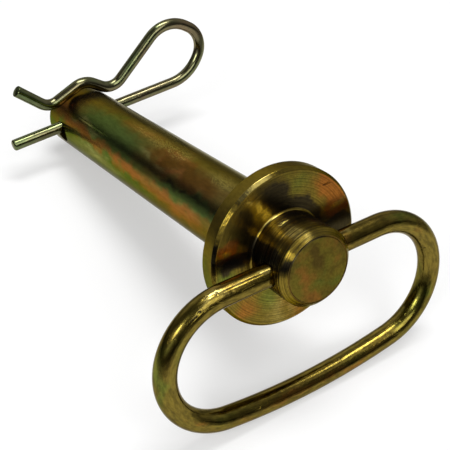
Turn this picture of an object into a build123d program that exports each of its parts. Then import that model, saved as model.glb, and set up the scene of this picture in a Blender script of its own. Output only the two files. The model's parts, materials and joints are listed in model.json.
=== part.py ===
from build123d import *
from math import asin, atan2, cos, degrees, hypot, radians, sin, sqrt, tan
import os

# Hitch pin with a swinging bail handle and a spring clip, in millimetres.
#
# The pieces are drawn in the pin's own frame: +X runs along the pin from the tip to the head,
# x = 0 is the flange's bearing face, +Y runs along the bore that holds the bail, and the bail
# hangs down along -Z. The finished pin is then set down the way it rests: on the edge of its
# tip and on the bar of its bail, with the head raised. There +Z is up, +X is the level
# direction from the tip to the head, and the origin is on the ground below the middle.

# Pin body, turned from one bar
shank_diameter = 19.05
shank_length = 109.5  # bearing face to the end of the tip
tip_chamfer_length = 2.0
tip_chamfer_depth = 1.5
flange_diameter = 38.5
flange_thickness = 4.5
flange_front_chamfer = 0.7
flange_back_chamfer = 0.3
flange_root_radius = 0.8  # corner between shank and bearing face
head_diameter = 18.7
head_length = 11.8
head_chamfer = 1.4
head_root_radius = 0.5  # corner between head and flange

# Cross holes
bail_bore_clearance = 0.10  # radial, so that the bail swings freely
bail_bore_edge_break = 0.25
clip_hole_diameter = 6.5
clip_hole_from_tip = 10.1
clip_hole_turn = 3.4  # degrees about the pin's axis, measured from the bail's bore
clip_hole_edge_break = 0.3

# Bail handle, one length of wire with both ends in the head's bore
bail_wire_diameter = 5.35
bail_width = 73.9  # between the centrelines of its two sides
bail_drop = 33.8  # from the bore's axis to the centreline of the bar
bail_bar_bow_radius = 150.0  # the bar bows gently outwards
bail_insertion = 7.5  # how far each end reaches into the head
bail_end_chamfer = 0.5
bail_swing_at_rest = 0.7  # degrees from square with the pin, towards the shank
bail_stop_gap = 0.3  # left between bar and shank at the two ends of the swing

# Spring clip, one length of wire. Its leg goes through the clip hole, and its sprung side
# goes down into a valley, up over the shank, down into a second valley and out in a tail.
clip_wire_diameter = 3.4
clip_leg_clearance = 0.03  # the spring pulls the leg up against the top of its hole
clip_seat_gap = 0.05  # between the rising flank and the shank
clip_leg_reach = 25.0  # pin axis to the leg's free end
clip_leg_end_chamfer = 0.4
clip_bow_start = 37.1  # pin axis to the corner where the leg turns into the bow
clip_bow_reach = 45.1  # pin axis to the bow's outer corner
clip_bow_middle = 11.5  # height of the outer corner above the leg
clip_bow_slope = 35.6  # degrees, fall of the bow's straight side into the inner valley
clip_bow_run = 22.5  # length of that side, measured along the leg
clip_bend_share = 0.49  # share of the shorter side that each bend of the bow takes up
clip_inner_valley_offset = 0.4  # valley corner beyond the shank's side, towards the bow
clip_outer_valley_offset = 1.6  # valley corner beyond the shank's other side
clip_rise_angle = 36.8  # degrees, flank from the inner valley up to the crest
clip_fall_angle = 17.9  # degrees, flank from the crest down to the outer valley
clip_fall_lift = 0.4  # how much further the falling flank stands off the shank
clip_tail_angle = 45.7  # degrees, tail rising from the outer valley
clip_tail_run = 8.2  # length of the tail, measured along the leg
clip_inner_valley_radius = 5.8
clip_crest_radius = 6.0
clip_outer_valley_radius = 4.8

# Sizes that follow from those above
shank_radius = shank_diameter / 2
bail_wire_radius = bail_wire_diameter / 2
clip_wire_radius = clip_wire_diameter / 2
bail_bore_x = flange_thickness + head_length / 2
clip_hole_x = clip_hole_from_tip - shank_length
clip_leg_height = clip_hole_diameter / 2 - clip_wire_radius - clip_leg_clearance
tip_corner_x = tip_chamfer_length - shank_length


def rim(solid, x, diameter):
    """The circular edge of a turned solid at this place along the pin's axis."""
    circles = solid.edges().filter_by(GeomType.CIRCLE)
    return circles.sort_by(lambda e: abs(e.center().X - x) + abs(e.radius - diameter / 2))[0]


def turned_blank():
    """The bar as it leaves the lathe: shank, flange and head in one solid."""
    with BuildPart() as blank:
        for start, length, diameter in (
            (-shank_length, shank_length, shank_diameter),
            (0, flange_thickness, flange_diameter),
            (flange_thickness, head_length, head_diameter),
        ):
            with BuildSketch(Plane.YZ.offset(start)):
                Circle(diameter / 2)
            extrude(amount=length)
        fillet(rim(blank, 0, shank_diameter), flange_root_radius)
        fillet(rim(blank, flange_thickness, head_diameter), head_root_radius)
        chamfer(rim(blank, 0, flange_diameter), flange_back_chamfer)
        chamfer(rim(blank, flange_thickness, flange_diameter), flange_front_chamfer)
        chamfer(rim(blank, flange_thickness + head_length, head_diameter), head_chamfer)
    return blank.part - tip_bevel()


def tip_bevel():
    """The ring that the lead-in chamfer takes off the tip."""
    tip_radius = shank_radius - tip_chamfer_depth
    sleeve = Pos(-shank_length, 0, 0) * Rot(0, 90, 0) * Cylinder(
        shank_diameter, tip_chamfer_length, align=(Align.CENTER, Align.CENTER, Align.MIN)
    )
    cone = Pos(-shank_length, 0, 0) * Rot(0, 90, 0) * Cone(
        tip_radius, shank_radius, tip_chamfer_length, align=(Align.CENTER, Align.CENTER, Align.MIN)
    )
    return sleeve - cone


def cross_drill(x, turn, diameter, wall_diameter, edge_break):
    """A drill through the pin with a countersink at each mouth, to be cut from the blank."""
    tool = Cylinder(diameter / 2, 2 * wall_diameter, rotation=(90, 0, 0))
    sink_radius = diameter / 2 + edge_break
    mouth = wall_diameter / 2 - edge_break
    for side in (1, -1):
        sink = Cone(
            sink_radius - 2 * edge_break,
            sink_radius + edge_break,
            3 * edge_break,
            align=(Align.CENTER, Align.CENTER, Align.MIN),
        )
        tool += Pos(0, side * (mouth - edge_break), 0) * Rot(-90 * side, 0, 0) * sink
    return Pos(x, 0, 0) * Rot(turn, 0, 0) * tool


def pin_body():
    """The turned blank with its two cross holes."""
    bail_bore_diameter = bail_wire_diameter + 2 * bail_bore_clearance
    bail_drill = cross_drill(bail_bore_x, 0, bail_bore_diameter, head_diameter, bail_bore_edge_break)
    clip_drill = cross_drill(
        clip_hole_x, clip_hole_turn, clip_hole_diameter, shank_diameter, clip_hole_edge_break
    )
    return turned_blank() - bail_drill - clip_drill


def wire_sweep(path, diameter):
    """A round wire along a path."""
    start = Plane(origin=path @ 0, z_dir=path % 0)
    return sweep(start * Circle(diameter / 2), path=path)


def end_rims(wire, path):
    """The sharp edges round a wire's two cut ends."""
    caps = wire.faces().filter_by(GeomType.PLANE)
    return [caps.sort_by_distance(path @ end)[0].edges()[0] for end in (0, 1)]


def bail_corner_radius():
    """The one radius with which both corners of a side meet, so that each side is fully round.

    The lower corner also has to run smoothly into the bowed bar. With half-width w, drop h and
    bow radius b, that makes the radius the positive root of r^2 + (4b - 2h - 2w) r + h^2 + w^2 - 2bh.
    """
    half_width = bail_width / 2
    half_linear = 2 * bail_bar_bow_radius - bail_drop - half_width
    constant = bail_drop**2 + half_width**2 - 2 * bail_bar_bow_radius * bail_drop
    return sqrt(half_linear**2 - constant) - half_linear


def bail_handle():
    """The bail, drawn in its own plane: x along the bore, y down to the bar."""
    radius = bail_corner_radius()
    corner_x = bail_width / 2 - radius
    bow_angle = degrees(asin(corner_x / (bail_bar_bow_radius - radius)))
    end = head_diameter / 2 - bail_insertion
    plane = Plane(origin=(bail_bore_x, 0, 0), x_dir=(0, 1, 0), z_dir=(-1, 0, 0))
    arm = Line((end, 0), (corner_x, 0))
    side = JernArc(arm @ 1, arm % 1, radius, 180 - bow_angle)
    bar = JernArc(side @ 1, side % 1, bail_bar_bow_radius, 2 * bow_angle)
    other_side = JernArc(bar @ 1, bar % 1, radius, 180 - bow_angle)
    other_arm = Line((-corner_x, 0), (-end, 0))
    path = plane * Wire([arm, side, bar, other_side, other_arm])
    wire = wire_sweep(path, bail_wire_diameter)
    wire = chamfer(end_rims(wire, path), bail_end_chamfer)
    bore_axis = Axis((bail_bore_x, 0, 0), (0, 1, 0))
    return wire.rotate(bore_axis, bail_swing_at_rest)


def flank_point(angle, stand_off, y):
    """Where a flank that stands this far off the pin's axis crosses y, in the clip's plane.

    The angle is the flank's fall towards the bow, in degrees, negative if it rises.
    """
    return (y, stand_off / cos(radians(angle)) - y * tan(radians(angle)))


def clip_corners():
    """The corners of the clip's path in its own plane: x towards the bow, y away from the leg."""
    seat = shank_radius + clip_wire_radius + clip_seat_gap
    rise, fall = clip_rise_angle, -clip_fall_angle
    fall_stand_off = seat + clip_fall_lift
    inner_valley = flank_point(rise, seat, shank_radius + clip_inner_valley_offset)
    outer_valley = flank_point(fall, fall_stand_off, -shank_radius - clip_outer_valley_offset)
    crest_y = (seat / cos(radians(rise)) - fall_stand_off / cos(radians(fall))) / (
        tan(radians(rise)) - tan(radians(fall))
    )
    crest = flank_point(rise, seat, crest_y)
    bow_top = (
        inner_valley[0] + clip_bow_run,
        inner_valley[1] + clip_bow_run * tan(radians(clip_bow_slope)),
    )
    tail = (
        outer_valley[0] - clip_tail_run,
        outer_valley[1] + clip_tail_run * tan(radians(clip_tail_angle)),
    )
    leg_end = (-clip_leg_reach, clip_leg_height)
    bow_low = (clip_bow_start, clip_leg_height)
    bow_far = (clip_bow_reach, clip_leg_height + clip_bow_middle)
    return [leg_end, bow_low, bow_far, bow_top, inner_valley, crest, outer_valley, tail]


def full_bend(before, corner, after):
    """The radius of a bend that takes up its share of the shorter of its two sides."""
    into = Vector(*corner) - Vector(*before)
    out = Vector(*after) - Vector(*corner)
    turn = radians(into.get_angle(out))
    return clip_bend_share * min(into.length, out.length) / tan(turn / 2)


def spring_clip():
    """The clip, seated in its hole and over the shank."""
    corners = clip_corners()
    bow_bends = [full_bend(*corners[i - 1 : i + 2]) for i in (1, 2, 3)]
    bends = bow_bends + [clip_inner_valley_radius, clip_crest_radius, clip_outer_valley_radius]
    turned_y = (0, cos(radians(clip_hole_turn)), sin(radians(clip_hole_turn)))
    plane = Plane(origin=(clip_hole_x, 0, 0), x_dir=turned_y, z_dir=(1, 0, 0))
    path = plane * FilletPolyline(*corners, radius=bends)
    wire = wire_sweep(path, clip_wire_diameter)
    return chamfer(end_rims(wire, path)[0], clip_leg_end_chamfer)


def rest_pitch():
    """How far the pin leans back, in degrees, with its tip's edge and the bail's bar on the ground."""
    swing = radians(bail_swing_at_rest)
    bar_x = bail_bore_x - bail_drop * sin(swing)
    level = bar_x - tip_corner_x
    below = bail_drop * cos(swing) - shank_radius
    return degrees(atan2(below, level) + asin(bail_wire_radius / hypot(level, below)))


def to_ground(pieces):
    """The move that sets the pin down to rest, with the origin below the middle of its box."""
    lean = Rot(0, -rest_pitch(), 0)
    box = Compound(children=[lean * piece for piece in pieces]).bounding_box()
    middle = box.center()
    return Pos(-middle.X, -middle.Y, -box.min.Z) * lean


nodes = {"pin_body": pin_body(), "bail_handle": bail_handle(), "spring_clip": spring_clip()}
set_down = to_ground(nodes.values())

os.makedirs("parts", exist_ok=True)
for name, piece in nodes.items():
    resting_piece = set_down * piece
    resting_piece.label = name
    export_step(resting_piece, f"parts/{name}.step")

# Datums of the finished pin where it rests, for whoever fits it to something
for name, along_pin in (("bearing face", 0), ("bail bore", bail_bore_x), ("clip hole", clip_hole_x)):
    x, y, z = (set_down * Pos(along_pin, 0, 0)).position
    print(f"{name} at {x:.4f}, {y:.4f}, {z:.4f}")
stop_angle = degrees(asin((shank_radius + bail_wire_radius + bail_stop_gap) / bail_drop))
print(f"the pin leans back {rest_pitch():.4f} degrees")
print(f"the bail stops {stop_angle:.4f} degrees short of lying along the shank")
print(f"the bail's corners have a radius of {bail_corner_radius():.3f}")
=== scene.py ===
"""Looks of a hitch pin: a turned steel pin, the wire bail in its head and the spring clip at its tip.

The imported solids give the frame: where the pin lies, how far it leans and where its bores are.
Each sub-assembly is a class that builds its own mesh around that frame and dresses it.
"""

import json
import logging
import math
from dataclasses import dataclass, field
from enum import Enum

import bmesh
import bpy
import numpy as np
from mathutils import Matrix, Vector

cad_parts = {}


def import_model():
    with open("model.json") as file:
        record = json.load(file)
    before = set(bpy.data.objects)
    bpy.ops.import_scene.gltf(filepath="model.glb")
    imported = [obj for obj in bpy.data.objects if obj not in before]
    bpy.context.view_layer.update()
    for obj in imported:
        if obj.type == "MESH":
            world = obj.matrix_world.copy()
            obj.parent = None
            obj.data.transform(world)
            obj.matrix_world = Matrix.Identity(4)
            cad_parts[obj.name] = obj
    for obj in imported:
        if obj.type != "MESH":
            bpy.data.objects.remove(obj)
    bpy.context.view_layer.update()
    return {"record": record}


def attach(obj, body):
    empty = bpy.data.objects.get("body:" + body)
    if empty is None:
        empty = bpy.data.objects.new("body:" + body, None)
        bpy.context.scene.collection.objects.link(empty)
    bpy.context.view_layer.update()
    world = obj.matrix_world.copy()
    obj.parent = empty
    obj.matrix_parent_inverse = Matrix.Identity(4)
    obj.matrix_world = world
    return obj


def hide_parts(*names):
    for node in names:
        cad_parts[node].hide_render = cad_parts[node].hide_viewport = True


LOG = logging.getLogger("hitch_pin")
MM = 0.001

Material = bpy.types.Material
Node = bpy.types.Node
NodeTree = bpy.types.NodeTree
Object = bpy.types.Object
Socket = bpy.types.NodeSocket


# ---------------------------------------------------------------- frame


@dataclass(frozen=True)
class PinFrame:
    """The pin's own axes in the row frame.

    Attributes:
        origin: centre of the flange's bearing face.
        along: from the tip to the head.
        across: along the bore that holds the bail.
        up: square with both, on the side away from the bail.
        clip_way: the direction of the clip's leg, towards its bow.
    """

    origin: Vector
    along: Vector
    across: Vector
    up: Vector
    clip_way: Vector

    @classmethod
    def from_record(cls, record: dict, bore_height: float) -> "PinFrame":
        """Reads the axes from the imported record.

        Args:
            record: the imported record.
            bore_height: from the bearing face to the bail's bore, along the pin.

        Returns:
            The frame of the pin as it lies.
        """
        face = next(m for m in record["mounts"] if m["kind"] == "flat_face")
        joints = {j["type"]: j for j in record["behaviour"]["joints"]}
        along = -Vector(face["axis"]).normalized()
        across = Vector(joints["hinge"]["axis"]).normalized()
        origin = Vector(joints["hinge"]["pos_m"]) - along * bore_height
        clip_way = Vector(joints["slide"]["axis"]).normalized()
        return cls(origin, along, across, along.cross(across), clip_way)

    def matrix(self) -> Matrix:
        """The move from the pin's own frame to the row frame."""
        return plane_matrix(self.origin, self.along, self.across)

    def point(self, x: float) -> Vector:
        """A point of the pin's axis, at a height above the bearing face, in the row frame."""
        return self.origin + self.along * x


def plane_matrix(origin: Vector, x_way: Vector, y_way: Vector) -> Matrix:
    """The move that lays zero on a point, and x and y along two directions square with each other."""
    rotation = Matrix((x_way, y_way, x_way.cross(y_way))).transposed()
    return Matrix.Translation(origin) @ rotation.to_4x4()


# ---------------------------------------------------------------- node helpers


class Sockets(Enum):
    """Socket types of a node group's interface."""

    VALUE = "NodeSocketFloat"
    WHOLE = "NodeSocketInt"
    VECTOR = "NodeSocketVector"
    COLOUR = "NodeSocketColor"
    GEOMETRY = "NodeSocketGeometry"
    MATERIAL = "NodeSocketMaterial"


class Tree:
    """A thin layer over a node tree, so that a chain of nodes reads like a formula."""

    def __init__(self, nodes: NodeTree) -> None:
        """Wraps a node tree."""
        self.tree = nodes

    def add(self, kind: str, inputs: dict | None = None, **settings: object) -> Node:
        """Adds a node.

        Args:
            kind: the node's type name.
            inputs: input name or number to a value or to a socket that feeds it.
            settings: properties of the node.

        Returns:
            The new node.
        """
        node = self.tree.nodes.new(kind)
        for name, value in settings.items():
            setattr(node, name, value)
        for name, value in (inputs or {}).items():
            self.feed(node, name, value)
        return node

    def feed(self, node: Node, name: str | int, value: object) -> None:
        """Links a socket to an input, or writes a plain value on it.

        Args:
            node: the node that is fed.
            name: the input's name or number.
            value: a socket or a plain value.
        """
        socket = node.inputs[name]
        if isinstance(value, Socket):
            self.tree.links.new(value, socket)
        else:
            socket.default_value = value

    def first(self, kind: str, inputs: dict | None = None, **settings: object) -> Socket:
        """Adds a node, as add does, and gives its first output."""
        return self.add(kind, inputs, **settings).outputs[0]

    def math(self, operation: str, *values: object) -> Socket:
        """A Math node's result."""
        return self.first("ShaderNodeMath", dict(enumerate(values)), operation=operation)

    def vector(self, operation: str, *values: object, scale: object = None) -> Socket:
        """A Vector Math node's result.

        Args:
            operation: the node's operation.
            values: its vectors.
            scale: the factor, for SCALE.

        Returns:
            The vector, or the value of a dot product or a length.
        """
        node = self.add("ShaderNodeVectorMath", dict(enumerate(values)), operation=operation)
        if scale is not None:
            self.feed(node, "Scale", scale)
        return node.outputs["Value" if operation in ("DOT_PRODUCT", "LENGTH") else "Vector"]

    def xyz(self, x: object, y: object, z: object) -> Socket:
        """Three values as a vector or a colour."""
        return self.first("ShaderNodeCombineXYZ", {0: x, 1: y, 2: z})

    def grey(self, value: object) -> Socket:
        """A value as a grey colour."""
        return self.xyz(value, value, value)

    def split(self, vector: object) -> list:
        """A vector's three values."""
        return list(self.add("ShaderNodeSeparateXYZ", {0: vector}).outputs)

    def travel(self, place: object) -> Socket:
        """How far a turning tool has gone at a place: on along the axis x, and in towards it."""
        x, y, z = self.split(place)
        return self.math("SUBTRACT", x, self.vector("LENGTH", self.xyz(0.0, y, z)))

    def ramp(self, value: object, low: float, high: float, to: tuple = (0.0, 1.0)) -> Socket:
        """A smooth step from the first of two results to the second, as a value goes from low to high."""
        inputs = {"Value": value, "From Min": low, "From Max": high, "To Min": to[0], "To Max": to[1]}
        return self.first("ShaderNodeMapRange", inputs, interpolation_type="SMOOTHSTEP")

    def noise(self, vector: object, scale: object, detail: float = 2.0, rough: float = 0.5,
              dimensions: str = "3D") -> Socket:
        """A Noise texture's value, from 0 to 1 about 0.5.

        Args:
            vector: the coordinates, or a single value where there is one dimension.
            scale: waves for each unit.
            detail: how many finer layers there are.
            rough: how strong each layer is beside the one before.
            dimensions: 3D or 1D.

        Returns:
            The value.
        """
        inputs = {"Scale": scale, "Detail": detail, "Roughness": rough}
        inputs["W" if dimensions == "1D" else "Vector"] = vector
        return self.first("ShaderNodeTexNoise", inputs, noise_dimensions=dimensions)

    def mix(self, factor: object, first: object, second: object, blend: str = "MIX") -> Socket:
        """Two colours mixed.

        Args:
            factor: the share of the second.
            first: a colour.
            second: the colour laid on it.
            blend: the node's blend type.

        Returns:
            The mixed colour.
        """
        node = self.add("ShaderNodeMix", data_type="RGBA", blend_type=blend, clamp_factor=True)
        for number, value in ((0, factor), (6, first), (7, second)):
            self.feed(node, number, value)
        return node.outputs[2]

    def bump(self, height: object, distance: float, normal: Socket | None = None) -> Socket:
        """The normal of a surface that a height raises.

        Args:
            height: the height, as a share of the distance.
            distance: in metres.
            normal: the normal before it, if anything has changed it.

        Returns:
            The new normal.
        """
        inputs = {"Height": height, "Distance": distance}
        if normal:
            inputs["Normal"] = normal
        return self.first("ShaderNodeBump", inputs)

    def named(self, name: str, kind: str = "FLOAT") -> Socket:
        """A value kept on a geometry's points, by its name."""
        return self.first("GeometryNodeInputNamedAttribute", {"Name": name}, data_type=kind)

    def store(self, geometry: Socket, name: str, value: Socket, kind: str = "FLOAT") -> Socket:
        """Keeps a value on a geometry's points.

        Args:
            geometry: the geometry.
            name: the value's name.
            value: the value at each point.
            kind: its data type.

        Returns:
            The geometry with the value on it.
        """
        inputs = {"Geometry": geometry, "Name": name, "Value": value}
        return self.first(
            "GeometryNodeStoreNamedAttribute", inputs, data_type=kind, domain="POINT"
        )


def new_group(name: str, kind: str, inputs: dict, outputs: dict) -> tuple[Tree, dict, Node]:
    """Makes a node group with a named interface.

    Args:
        name: the group's name.
        kind: ShaderNodeTree or GeometryNodeTree.
        inputs: socket name to its type and default value.
        outputs: socket name to its type.

    Returns:
        The group's tree, its inputs by name and its output node.
    """
    group = bpy.data.node_groups.new(name, kind)
    for label, (socket, default) in inputs.items():
        made = group.interface.new_socket(label, in_out="INPUT", socket_type=socket.value)
        if default is not None:
            made.default_value = default
    for label, socket in outputs.items():
        group.interface.new_socket(label, in_out="OUTPUT", socket_type=socket.value)
    tree = Tree(group)
    entry = tree.add("NodeGroupInput")
    return tree, {s.name: s for s in entry.outputs if s.name}, tree.add("NodeGroupOutput")


# ---------------------------------------------------------------- shared shader groups


class Tint(Enum):
    """The tints laid on the plain gold film: green, orange and brown where the film is thicker or stained,
    and a painted shade and a painted highlight where the metal should reflect dark surroundings or a lamp.
    """

    GREEN = "Green"
    ORANGE = "Orange"
    BROWN = "Brown"
    # painted shade and painted highlight: these two tints stand in for dark and bright reflections, not for
    # the film's own colour
    DARK = "Dark"
    BRIGHT = "Bright"


@dataclass(frozen=True)
class FilmColours:
    """The colours of a passivation film, as a pale floor shows them.

    Attributes:
        gold: the plain film.
        green: where it is thicker.
        orange: where it is thicker still.
        brown: its stains.
        dark: painted shade, a dark colour laid where the metal should reflect dark surroundings.
        bright: painted highlight, a pale colour laid where the metal should reflect a lamp.
    """

    gold: tuple = (0.158, 0.111, 0.015)
    green: tuple = (0.108, 0.132, 0.018)
    orange: tuple = (0.285, 0.104, 0.016)
    brown: tuple = (0.105, 0.050, 0.012)
    dark: tuple = (0.033, 0.025, 0.010)
    bright: tuple = (0.42, 0.33, 0.09)

    def of(self, tint: Tint) -> tuple:
        """The colour of a tint, with full alpha."""
        return (*getattr(self, tint.value.lower()), 1)


def film_group() -> NodeTree:
    """The passivation film: a gold ground, with soft clouds of each tint, the painted shade and painted
    highlight among them, and a fine mottle on it.

    Returns:
        The group.
    """
    inputs = {
        "Vector": (Sockets.VECTOR, None),
        "Cloud Scale": (Sockets.VALUE, 60.0),
        "Cloud Depth": (Sockets.VALUE, 0.2),
        "Cloud Contrast": (Sockets.VALUE, 3.0),
        "Mottle": (Sockets.VALUE, 0.3),
        "Mottle Scale": (Sockets.VALUE, 1400.0),
        "Gold": (Sockets.COLOUR, None),
    }
    for tint in Tint:
        inputs[tint.value] = (Sockets.COLOUR, None)
        inputs[f"{tint.value} Amount"] = (Sockets.VALUE, 0.0)
    outputs = {"Color": Sockets.COLOUR}
    tree, given, out = new_group("PassivationFilm", "ShaderNodeTree", inputs, outputs)
    colour = given["Gold"]
    for number, tint in enumerate(Tint):
        moved = tree.vector("ADD", given["Vector"], (0.31 * number, 0.17, 0.05 * number))
        cloud = tree.math("SUBTRACT", tree.noise(moved, given["Cloud Scale"], 4.0, 0.6), 0.5)
        cloud = tree.math("MULTIPLY", cloud, given["Cloud Contrast"])
        drift = tree.math("MULTIPLY", cloud, given["Cloud Depth"])
        share = tree.ramp(tree.math("ADD", given[f"{tint.value} Amount"], drift), 0.0, 1.0)
        colour = tree.mix(share, colour, given[tint.value])
    fine = tree.noise(given["Vector"], given["Mottle Scale"], 4.0, 0.65)
    shade = tree.ramp(fine, 0.32, 0.68, (0.45, 1.5))
    tinted = tree.mix(1.0, colour, tree.grey(shade), "MULTIPLY")
    tree.feed(out, "Color", tree.mix(given["Mottle"], colour, tinted))
    return tree.tree


def mark_group() -> NodeTree:
    """One place on the metal, soft at its edge, where the film or the height differs.

    Returns:
        The group.
    """
    inputs = {
        "Vector": (Sockets.VECTOR, None),
        "Place": (Sockets.VECTOR, (0.0, 0.0, 0.0)),
        "Size": (Sockets.VECTOR, (0.01, 0.01, 0.01)),
        "Amount": (Sockets.VALUE, 0.3),
    }
    tree, given, out = new_group("SoftMark", "ShaderNodeTree", inputs, {"Value": Sockets.VALUE})
    away = tree.vector("SUBTRACT", given["Vector"], given["Place"])
    away = tree.vector("LENGTH", tree.vector("DIVIDE", away, given["Size"]))
    share = tree.ramp(away, 0.0, 1.0, (1.0, 0.0))
    tree.feed(out, "Value", tree.math("MULTIPLY", share, given["Amount"]))
    return tree.tree


def turning_group() -> NodeTree:
    """The lathe's fine marks: rings about the pin's axis, on faces and sides alike.

    Returns:
        The group.
    """
    inputs = {
        "Vector": (Sockets.VECTOR, None),
        "Rings": (Sockets.VALUE, 4000.0),
        "Broad Share": (Sockets.VALUE, 0.3),
    }
    outputs = {"Height": Sockets.VALUE, "Ring": Sockets.VALUE}
    tree, given, out = new_group("TurningMarks", "ShaderNodeTree", inputs, outputs)
    travel = tree.travel(given["Vector"])
    broad = tree.math("MULTIPLY", given["Rings"], given["Broad Share"])
    tree.feed(out, "Height", tree.noise(travel, given["Rings"], 2.0, 0.7, "1D"))
    tree.feed(out, "Ring", tree.noise(travel, broad, 2.0, 0.7, "1D"))
    return tree.tree


def scuff_group() -> NodeTree:
    """Handling marks: fine scattered scratches and dull smudges.

    Returns:
        The group.
    """
    inputs = {
        "Vector": (Sockets.VECTOR, None),
        "Scale": (Sockets.VALUE, 300.0),
        "Broad Share": (Sockets.VALUE, 0.4),
        "Line Width": (Sockets.VALUE, 0.008),
    }
    outputs = {"Scratch": Sockets.VALUE, "Smudge": Sockets.VALUE}
    tree, given, out = new_group("Scuffs", "ShaderNodeTree", inputs, outputs)
    scale = tree.math("MULTIPLY", given["Scale"], given["Broad Share"])
    broad = tree.noise(given["Vector"], scale, 2.0)
    lines = tree.noise(given["Vector"], given["Scale"], 1.0, 0.5)
    near = tree.math("ABSOLUTE", tree.math("SUBTRACT", lines, 0.5))
    thin = tree.ramp(near, 0.0, given["Line Width"], (1.0, 0.0))
    tree.feed(out, "Scratch", tree.math("MULTIPLY", thin, tree.ramp(broad, 0.55, 0.62)))
    tree.feed(out, "Smudge", tree.ramp(broad, 0.35, 0.75))
    return tree.tree


def dust_group() -> NodeTree:
    """Gold dust: bright specks where the film is broken, in patches where it lies thick.

    Returns:
        The group.
    """
    inputs = {
        "Vector": (Sockets.VECTOR, None),
        "Specks": (Sockets.VALUE, 3600.0),
        "Patches": (Sockets.VALUE, 150.0),
        "Thick": (Sockets.VALUE, 0.0),
    }
    tree, given, out = new_group("GoldDust", "ShaderNodeTree", inputs, {"Mask": Sockets.VALUE})
    specks = tree.ramp(tree.noise(given["Vector"], given["Specks"], 2.0, 0.6), 0.52, 0.64)
    patchy = tree.noise(given["Vector"], given["Patches"], 2.0, 0.5)
    patches = tree.ramp(tree.math("ADD", patchy, given["Thick"]), 0.6, 0.95)
    tree.feed(out, "Mask", tree.math("MULTIPLY", specks, patches))
    return tree.tree


# ---------------------------------------------------------------- finishes


SHANK_REACH = 9.5  # from the axis to the middle of a bloom on the shank, in millimetres
FACE_DEPTH = 4.0  # half depth of a bloom on a face, in millimetres
DUST_COLOUR = (0.42, 0.33, 0.09, 1)
SWIRLS = 130.0  # swirls that bend the edges of the blooms, for each metre
SWIRL_REACH = 9.0 * MM
SMUDGE_ROUGHNESS = 0.09  # how far a smudge dulls the metal
NOISE_SPAN = (0.35, 0.65)  # where most of a Noise texture's values lie


@dataclass(frozen=True)
class Bloom:
    """A place where the film ran thicker, or, in the painted shade or painted highlight tint, a patch of
    painted shade or painted highlight.

    Attributes:
        place: its middle, in the material's own coordinates, in millimetres.
        size: its half lengths, in millimetres.
        tint: the tint that it takes there.
        amount: how strong the tint is in its middle.
    """

    place: tuple
    size: tuple
    tint: Tint
    amount: float = 1.0

    @classmethod
    def on_shank(cls, *rows: tuple) -> tuple:
        """Blooms on the round of the shank.

        Args:
            rows: place along the pin, turn from its top in degrees, half length, half width, tint and amount.

        Returns:
            The blooms.
        """
        return tuple(
            cls(
                (x, SHANK_REACH * math.sin(math.radians(turn)), SHANK_REACH * math.cos(math.radians(turn))),
                (length, width, width),
                tint,
                amount,
            )
            for x, turn, length, width, tint, amount in rows
        )

    @classmethod
    def on_face(cls, height: float, *rows: tuple) -> tuple:
        """Blooms on a face square with the pin's axis.

        Args:
            height: the face's place along the pin.
            rows: turn from the bail's bore in degrees, distance from the axis, half size, tint and amount.

        Returns:
            The blooms.
        """
        return tuple(
            cls(
                (height, radius * math.cos(math.radians(turn)), radius * math.sin(math.radians(turn))),
                (FACE_DEPTH, size, size),
                tint,
                amount,
            )
            for turn, radius, size, tint, amount in rows
        )


@dataclass(frozen=True)
class Nick:
    """A small knock or scratch in the metal.

    Attributes:
        place: its middle, in the material's own coordinates, in millimetres.
        size: its half lengths, in millimetres.
        amount: its depth, in millimetres.
    """

    place: tuple
    size: tuple
    amount: float = 0.05


class Metal:
    """A metal material that is being dressed, and the coordinates that its patterns lie in."""

    def __init__(self, name: str, groups: dict) -> None:
        """Makes the material.

        Args:
            name: the material's name.
            groups: the shared shader groups by name.
        """
        self.material = bpy.data.materials.new(name)
        self.material.use_nodes = True
        self.tree = Tree(self.material.node_tree)
        self.shader = self.material.node_tree.nodes["Principled BSDF"]
        self.groups = groups
        self.spot: Socket | None = None

    def set_even(self, name: str, value: object) -> None:
        """Sets a value that is the same all over on the shader's own socket."""
        self.shader.inputs[name].default_value = value

    def place(self, name: str, inputs: dict) -> Node:
        """Places a shared shader group with values of its own."""
        return self.tree.add("ShaderNodeGroup", inputs, node_tree=self.groups[name])

    def drawn_out(self, share: float) -> Socket:
        """The coordinates with the way along the piece made shorter, which draws a pattern out."""
        return self.tree.vector("MULTIPLY", self.spot, (share, 1.0, 1.0))

    def marked(self, spot: Socket, marks: tuple, amount: float, operation: str = "ADD") -> Socket | float:
        """Adds marks to a plain amount, or takes them from it.

        Args:
            spot: the coordinates that the marks are placed in.
            marks: blooms or nicks.
            amount: the amount where there are none.
            operation: ADD or SUBTRACT.

        Returns:
            The amount at each point.
        """
        for mark in marks:
            inputs = {
                "Vector": spot,
                "Place": tuple(c * MM for c in mark.place),
                "Size": tuple(c * MM for c in mark.size),
                "Amount": mark.amount,
            }
            amount = self.tree.math(operation, amount, self.place("mark", inputs).outputs[0])
        return amount


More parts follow.
